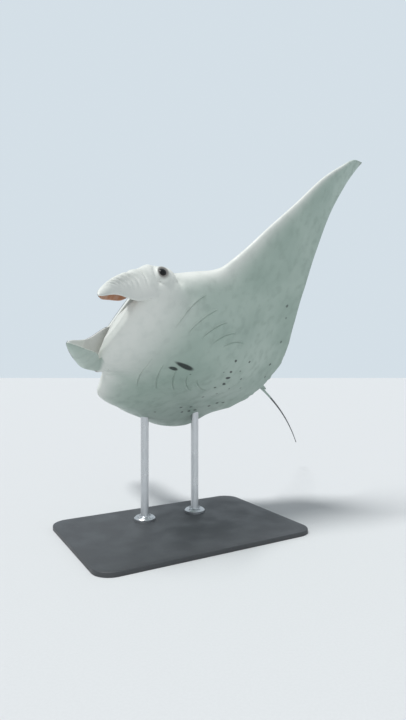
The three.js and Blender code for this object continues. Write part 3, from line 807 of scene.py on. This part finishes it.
# The cephalic fins: warm inside the left tip, pale on both, with painted shade on the outside of
# the right one, where it faces away from the light.
warm, pale, painted_shade = (np.zeros(len(points)) for _ in range(3))
for fin, side in zip(fins, (1, -1)):
    gap = np.abs(fin.distance(points, near["fin"]))
    along, turn = fin.place_on(points)
    along = np.sin(along * math.pi / 2)
    across_fin = (1 + np.cos(turn * 2 * math.pi)) / 2
    outer = (turn < 0.5) if side > 0 else (turn > 0.5)
    on = (1 - smooth_step(0.002, 0.006, gap)) * smooth_step(0.2, 0.3, along)
    edge = 0.44 if side > 0 else 0.53 - 0.06 * smooth_step(0.4, 0.6, along)
    dark = np.maximum(np.where(outer, edge - across_fin, -1) * 0.05, -0.02)
    back = back * (1 - on) + dark * on
    inner = np.where(outer, 0, smooth_step(0.25, 0.6, along))
    inner = inner * (1 - smooth_step(0.2, 0.75, across_fin))
    warm = np.maximum(warm, on * inner * (side > 0))
    pale = np.maximum(pale, on * smooth_step(0.22, 0.4, along))
    # Painted shade: the right fin's outer face keeps the belly's darker tone instead of the fins'
    # pale one.
    painted_shade = np.maximum(painted_shade, on * outer * (side < 0))
on_tail, on_blade = (
    np.abs(shell.distance(points, near["tail"])) < on_surface for shell in (tail, blade)
)
tail_back = np.clip((-0.262 - x) * 0.2 + normals[:, 2] * 0.008, -0.02, 0.02)
back = np.where((x < -0.2) & on_tail, tail_back, back)
back = np.where(on_blade & (z > 0.008), 0.02, back)
store("back", back)
store("spot", spot_mask(points) * below)
# Painted shade in the gill grooves, and a dark ring close round each eye.
store("gill_shade_and_eye_ring", np.maximum(0.12 * groove, bell(off_eye, 0.0019)))
store("warm", warm)
store("mouth", 1 - smooth_step(-0.001, 0.003, hollow.distance(points, near["mouth"])))
# Shoulder patches: a clear front border that sweeps back and out, fading towards the tail.
behind = 0.128 - 0.75 * (aside - 0.05) - 0.02 * bell(aside, 0.02, 0.05) - x
shoulder = smooth_step(-0.014, 0.016, behind) * (1 - smooth_step(0, 0.13, behind))
shoulder *= smooth_step(0.028, 0.075, aside) * (1 - smooth_step(0.09, 0.23, aside))
store("shoulder", shoulder * (back > 0))
store("tip", smooth_step(0.482, 0.5, span))
# Paler throat: partly the manta's own white throat, partly painted light on the lit lower jaw.
pale_and_painted_light = smooth_step(0.08, 0.225, x) * smooth_step(-0.03, 0.03, 0.1 - aside)
# rim: a painted highlight in a narrow band along the wings' leading edge, fading before the tips.
rim = np.exp(-chord * 20) * (1 - smooth_step(0.44, 0.49, span))
# The pale mask: the fins' own pale colour, painted light on the throat and along the leading edge,
# less the painted shade on the right fin.
store("pale_and_painted_light", np.maximum.reduce([pale_and_painted_light, rim, pale]) * (1 - 0.8 * painted_shade))

# ==== Placing it ====
skin.data.transform(to_world @ Matrix.Scale(disc_width, 4))
skin.data.polygons.foreach_set("use_smooth", [True] * len(skin.data.polygons))
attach(skin, root)
flesh = [
    "head", "trunk", "wing_left", "wing_right", "cephalic_fin_left", "cephalic_fin_right",
    "pelvic_fin_left", "pelvic_fin_right", "dorsal_fin", "tail_base", "tail_middle", "tail_end",
]
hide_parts(*flesh)


# ==== Materials ====

class Paint:
    """A node material on one Principled shader, with short names for the nodes it uses."""

    def __init__(self, name, roughness, **uniform):
        self.material = bpy.data.materials.new(name)
        self.material.use_nodes = True
        self.tree = self.material.node_tree
        self.shader = self.tree.nodes["Principled BSDF"]
        self.shader.inputs["Roughness"].default_value = roughness
        for key, value in uniform.items():
            self.shader.inputs[key.replace("_", " ")].default_value = value
        self.place = self.tree.nodes.new("ShaderNodeTexCoord").outputs["Object"]

    def node(self, kind, inputs, **settings):
        made = self.tree.nodes.new(kind)
        for key, value in settings.items():
            setattr(made, key, value)
        for key, value in inputs.items():
            if isinstance(value, bpy.types.NodeSocket):
                self.tree.links.new(value, made.inputs[key])
            else:
                made.inputs[key].default_value = value
        return made

    def value(self, name):
        return self.node("ShaderNodeAttribute", {}, attribute_name=name).outputs["Fac"]

    def noise(self, scale, detail=3, stretch=(1, 1, 1)):
        place = self.node("ShaderNodeMapping", {"Vector": self.place, "Scale": stretch}).outputs[0]
        inputs = {"Vector": place, "Scale": scale, "Detail": detail}
        return self.node("ShaderNodeTexNoise", inputs).outputs["Fac"]

    def math(self, operation, a, b=0.0):
        return self.node("ShaderNodeMath", {0: a, 1: b}, operation=operation).outputs[0]

    def between(self, value, low, high, out_low=0.0, out_high=1.0):
        inputs = {"Value": value, "From Min": low, "From Max": high,
                  "To Min": out_low, "To Max": out_high}
        return self.node("ShaderNodeMapRange", inputs, interpolation_type="SMOOTHSTEP").outputs[0]

    def mix(self, factor, a, b):
        a, b = (c if isinstance(c, bpy.types.NodeSocket) else (*c, 1) for c in (a, b))
        return self.node("ShaderNodeMix", {0: factor, 6: a, 7: b}, data_type="RGBA").outputs[2]

    def finish(self, colour, roughness=None, bumps=()):
        self.tree.links.new(colour, self.shader.inputs["Base Color"])
        if roughness is not None:
            self.tree.links.new(roughness, self.shader.inputs["Roughness"])
        normal = None
        for height, distance in bumps:
            inputs = {"Height": height, "Distance": distance, "Strength": 0.6}
            if normal is not None:
                inputs["Normal"] = normal
            normal = self.node("ShaderNodeBump", inputs).outputs[0]
        if normal is not None:
            self.tree.links.new(normal, self.shader.inputs["Normal"])
        return self.material


def skin_paint():
    paint = Paint("manta_skin", 0.45, Specular_IOR_Level=0.4)
    broad, mottle = paint.noise(2.2), paint.noise(16, 5)
    grain, fine = paint.noise(120, 2), paint.noise(520, 2)
    wobble = paint.math("MULTIPLY", paint.math("SUBTRACT", paint.noise(14, 4), 0.5), 0.010)
    # The belly is a darker grey-green than the manta's white underside: painted shade. The pale
    # mask brings back the fins' pale colour and paints light on the throat and leading edge.
    belly = paint.mix(paint.between(broad, 0.35, 0.65), (0.33, 0.43, 0.375), (0.42, 0.52, 0.46))
    belly = paint.mix(paint.between(mottle, 0.45, 0.72, 0.0, 0.45), belly, (0.28, 0.36, 0.315))
    pale = paint.mix(paint.between(mottle, 0.4, 0.75), (0.78, 0.80, 0.76), (0.72, 0.75, 0.71))
    belly = paint.mix(paint.math("MULTIPLY", paint.value("pale_and_painted_light"), 0.95), belly, pale)
    tips = paint.math("MULTIPLY", paint.value("tip"), paint.between(mottle, 0.3, 0.7, 0.5, 0.9))
    belly = paint.mix(tips, belly, (0.22, 0.23, 0.19))
    belly = paint.mix(paint.value("mouth"), belly, (0.66, 0.67, 0.64))
    warm = paint.math("MULTIPLY", paint.value("warm"), paint.between(mottle, 0.25, 0.6, 0.8, 1.0))
    belly = paint.mix(warm, belly, (0.42, 0.165, 0.07))
    spot = paint.math("MULTIPLY", paint.value("spot"), paint.between(grain, 0.25, 0.6, 0.93, 1.0))
    belly = paint.mix(spot, belly, (0.025, 0.035, 0.033))
    broken = paint.between(mottle, 0.35, 0.7)
    slate = paint.mix(broken, (0.022, 0.028, 0.034), (0.050, 0.058, 0.064))
    slate = paint.mix(paint.between(grain, 0.55, 0.75, 0.0, 0.5), slate, (0.085, 0.095, 0.10))
    patch = paint.math("ADD", paint.value("shoulder"), paint.math("MULTIPLY", wobble, 20.0))
    slate = paint.mix(paint.between(patch, 0.05, 1.05, 0.0, 0.8), slate, (0.32, 0.34, 0.34))
    edge = paint.math("ADD", paint.value("back"), wobble)
    colour = paint.mix(paint.between(edge, -0.0015, 0.0025), belly, slate)
    # Painted shade in the gill grooves, and the dark ring round each eye.
    gill_shade_and_eye_ring = paint.math("MULTIPLY", paint.value("gill_shade_and_eye_ring"), 0.85)
    colour = paint.mix(gill_shade_and_eye_ring, colour, (0.09, 0.075, 0.07))
    roughness = paint.between(mottle, 0.3, 0.75, 0.38, 0.55)
    return paint.finish(colour, roughness, [(mottle, 0.003), (grain, 0.0008), (fine, 0.0002)])


def eye_paint():
    paint = Paint("manta_eye", 0.10, Specular_IOR_Level=0.22, Coat_Weight=0.08)
    angle = paint.value("gaze")
    streaks = paint.noise(260, 3)
    streaked = paint.between(streaks, 0.35, 0.7)
    iris = paint.mix(streaked, (0.008, 0.008, 0.009), (0.028, 0.024, 0.020))
    colour = paint.mix(paint.between(angle, 0.5, 0.58), (0.002, 0.002, 0.002), iris)
    colour = paint.mix(paint.between(angle, 0.85, 1.0), colour, (0.010, 0.010, 0.011))
    return paint.finish(colour)


def base_paint():
    paint = Paint("base_powder_coat", 0.5)
    speckle, cloud = paint.noise(420, 2), paint.noise(5, 4)
    dotted = paint.between(speckle, 0.4, 0.65)
    colour = paint.mix(dotted, (0.040, 0.043, 0.047), (0.058, 0.062, 0.066))
    colour = paint.mix(paint.between(cloud, 0.4, 0.8, 0.0, 0.3), colour, (0.075, 0.079, 0.083))
    return paint.finish(colour, paint.between(cloud, 0.3, 0.7, 0.42, 0.58), [(speckle, 0.0004)])


def steel_paint():
    paint = Paint("rod_brushed_steel", 0.3, Metallic=1.0)
    lines, cloud = paint.noise(900, 2, (1, 1, 0.02)), paint.noise(12, 3)
    colour = paint.mix(paint.between(lines, 0.3, 0.7), (0.50, 0.51, 0.52), (0.62, 0.63, 0.64))
    return paint.finish(colour, paint.between(cloud, 0.3, 0.7, 0.26, 0.38), [(lines, 0.0001)])


def floor_paint():
    paint = Paint("floor_pale", 0.85)
    speckle = paint.between(paint.noise(90, 2), 0.3, 0.7)
    colour = paint.mix(speckle, (0.695, 0.715, 0.725), (0.71, 0.73, 0.74))
    return paint.finish(colour)


skin.data.materials.clear()
skin.data.materials.append(skin_paint())

# ==== Eyes ====
eye_material = eye_paint()
for side in (1, -1):
    name = "eye_left" if side > 0 else "eye_right"
    low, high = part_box(name)
    centre, radius = (low + high) / 2, disc_width * eye["radii"][0]
    outward = Vector(eye["at"]) - Vector(orbit["at"])
    outward.y *= side
    outward = (to_world.to_3x3() @ outward).normalized()
    ball = bmesh.new()
    bmesh.ops.create_uvsphere(ball, u_segments=96, v_segments=64, radius=radius)
    angles = []
    for v in ball.verts:
        angle = v.co.angle(outward)
        # The cornea stands a little proud of the rest of the ball.
        v.co *= 1 + 0.025 * math.exp(-((angle / 0.7) ** 4))
        angles.append(angle)
    bmesh.ops.translate(ball, verts=ball.verts, vec=centre)
    for face in ball.faces:
        face.smooth = True
    mesh = bpy.data.meshes.new("seen_" + name)
    ball.to_mesh(mesh)
    ball.free()
    mesh.attributes.new("gaze", "FLOAT", "POINT").data.foreach_set("value", angles)
    mesh.materials.append(eye_material)
    seen = placed("seen_" + name, mesh)
    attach(seen, root)
    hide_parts(name)

# ==== Stand ====
base = {"length": 1.5, "width": 1.05, "corner": 0.12, "thickness": 0.03, "bevel": 0.006,
        "foot_bevel": 0.002, "crown": 0.05, "turn": 30}
rod = {"radius": 0.028, "foot_radius": 0.075, "foot_height": 0.024, "weld": 0.006,
       "into_body": 0.02}
screw = {"circle": 0.0475, "radius": 0.0085, "height": 0.0062, "chamfer": 0.001,
         "socket_radius": 0.0045, "socket_floor": 0.0025, "count": 4}


def base_ring(inset, height):
    """The rounded outline of the base, drawn in by an inset, at a height."""
    corner = base["corner"] - inset
    half_x, half_y = base["length"] / 2 - base["corner"], base["width"] / 2 - base["corner"]
    steps = 16
    ring = []
    for quarter, (sx, sy) in enumerate(((1, 1), (-1, 1), (-1, -1), (1, -1))):
        for step in range(steps + 1):
            angle = (quarter + step / steps) * math.pi / 2
            x, y = sx * half_x + corner * math.cos(angle), sy * half_y + corner * math.sin(angle)
            ring.append((x, y, height))
    return ring


def round_rings(x, y, foot, profile, count):
    """Level circles round an upright axis, from (radius, height above the foot) pairs."""
    return [
        [(x + radius * math.cos(a), y + radius * math.sin(a), foot + height) for a in turns(count)]
        for radius, height in profile
    ]


def closed(name, rings, material, replaced):
    """A closed piece from equal rings, flat at both ends, with smooth sides."""
    made = bmesh.new()
    verts = [[made.verts.new(p) for p in ring] for ring in rings]
    size = len(verts[0])
    for a, b in zip(verts, verts[1:]):
        for j in range(size):
            made.faces.new((a[j], a[(j + 1) % size], b[(j + 1) % size], b[j])).smooth = True
    made.faces.new(verts[0][::-1])
    made.faces.new(verts[-1])
    bmesh.ops.recalc_face_normals(made, faces=made.faces)
    for edge in made.edges:
        edge.smooth = edge.calc_face_angle(0) < math.radians(28)
    mesh = bpy.data.meshes.new(name)
    made.to_mesh(mesh)
    made.free()
    mesh.materials.append(material)
    piece = placed(name, mesh)
    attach(piece, root)
    if replaced:
        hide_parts(replaced)
    return piece


round_over = [
    (base["bevel"] * (1 - math.sin(a)), base["thickness"] - base["bevel"] * (1 - math.cos(a)))
    for a in np.radians([90, 67.5, 45, 22.5, 0])
]
outline = [(base["foot_bevel"], 0), (0, base["foot_bevel"]), *round_over]
outline.append((base["crown"], base["thickness"]))
rings = [base_ring(*place) for place in outline]
board = closed("seen_base", rings, base_paint(), "stand_base")
board.data.transform(Matrix.Rotation(math.radians(base["turn"]), 4, "Z"))

steel = steel_paint()
for name in ("stand_rod_front", "stand_rod_rear"):
    low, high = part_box(name)
    x, y = (low.x + high.x) / 2, (low.y + high.y) / 2
    foot, top = low.z, high.z + rod["into_body"]
    r, f, h, w = rod["radius"], rod["foot_radius"], rod["foot_height"], rod["weld"]
    weld = [
        (r + w * (1 - math.sin(a)), h + w * (1 - math.cos(a))) for a in np.radians([0, 30, 60, 90])
    ]
    sloped = [(f, 0), (f, h * 0.6), (f - 0.001, h * 0.66), (f - 0.009, h - 0.0005), (f - 0.011, h)]
    rings = round_rings(x, y, foot, [*sloped, *weld, (r, top - foot)], 72)
    closed("seen_" + name, rings, steel, name)
    # Cap screws hold each foot to the base.
    over = h + screw["height"]
    profile = [
        (screw["radius"], h - 0.001),
        (screw["radius"], over - screw["chamfer"]),
        (screw["radius"] - screw["chamfer"], over),
        (screw["socket_radius"], over),
        (screw["socket_radius"], h + screw["socket_floor"]),
    ]
    side_name = name.removeprefix("stand_rod_")
    for number in range(screw["count"]):
        angle = math.radians(45 + 90 * number)
        cx, cy = x + screw["circle"] * math.cos(angle), y + screw["circle"] * math.sin(angle)
        rings = round_rings(cx, cy, foot, profile, 24)
        closed(f"screw_{side_name}_{number}", rings, steel, None)

# ==== Floor, light and camera ====
half = 30
corners = [(-half, -half, 0), (half, -half, 0), (half, half, 0), (-half, half, 0)]
floor = new_object("floor", corners, [(0, 1, 2, 3)])
floor.data.materials.append(floor_paint())

world = bpy.data.worlds.new("studio")
bpy.context.scene.world = world
world.use_nodes = True
tree = world.node_tree
# What lights the scene, and the backdrop as the camera, shiny surfaces and clear ones see it.
ambient, backdrop = tree.nodes["Background"], tree.nodes.new("ShaderNodeBackground")
for node, colour, strength in (
    (ambient, (0.90, 0.95, 1.0, 1), 0.40),
    (backdrop, (0.66, 0.74, 0.80, 1), 1),
):
    node.inputs["Color"].default_value = colour
    node.inputs["Strength"].default_value = strength
path, link = tree.nodes.new("ShaderNodeLightPath"), tree.links.new
rays = path.outputs["Is Camera Ray"]
for kind in ("Is Glossy Ray", "Is Transmission Ray"):
    either = tree.nodes.new("ShaderNodeMath")
    either.operation = "MAXIMUM"
    link(rays, either.inputs[0])
    link(path.outputs[kind], either.inputs[1])
    rays = either.outputs[0]
choose = tree.nodes.new("ShaderNodeMixShader")
for socket, source in enumerate((rays, ambient.outputs[0], backdrop.outputs[0])):
    link(source, choose.inputs[socket])
link(choose.outputs[0], tree.nodes["World Output"].inputs["Surface"])


def sun(name, towards, softness, strength):
    """A broad studio light that shines in one direction."""
    light = bpy.data.lights.new(name, "SUN")
    light.angle, light.energy = math.radians(softness), strength
    made = placed(name, light)
    made.rotation_euler = Vector(towards).to_track_quat("-Z", "Y").to_euler()


sun("key", (0.30, 0.32, -0.90), 18, 2.5)
sun("fill", (-0.15, 0.9, -0.3), 70, 0.2)

camera_off = Vector((0.0177, 3.4588, 0.0609))
camera = placed("camera", bpy.data.cameras.new("camera"))
camera.data.lens, camera.data.sensor_width = 26, 36
camera.location = body_at - camera_off
camera.rotation_euler = (math.radians(90), 0, 0)
bpy.context.scene.camera = camera
bpy.context.scene.view_settings.view_transform = "Standard"
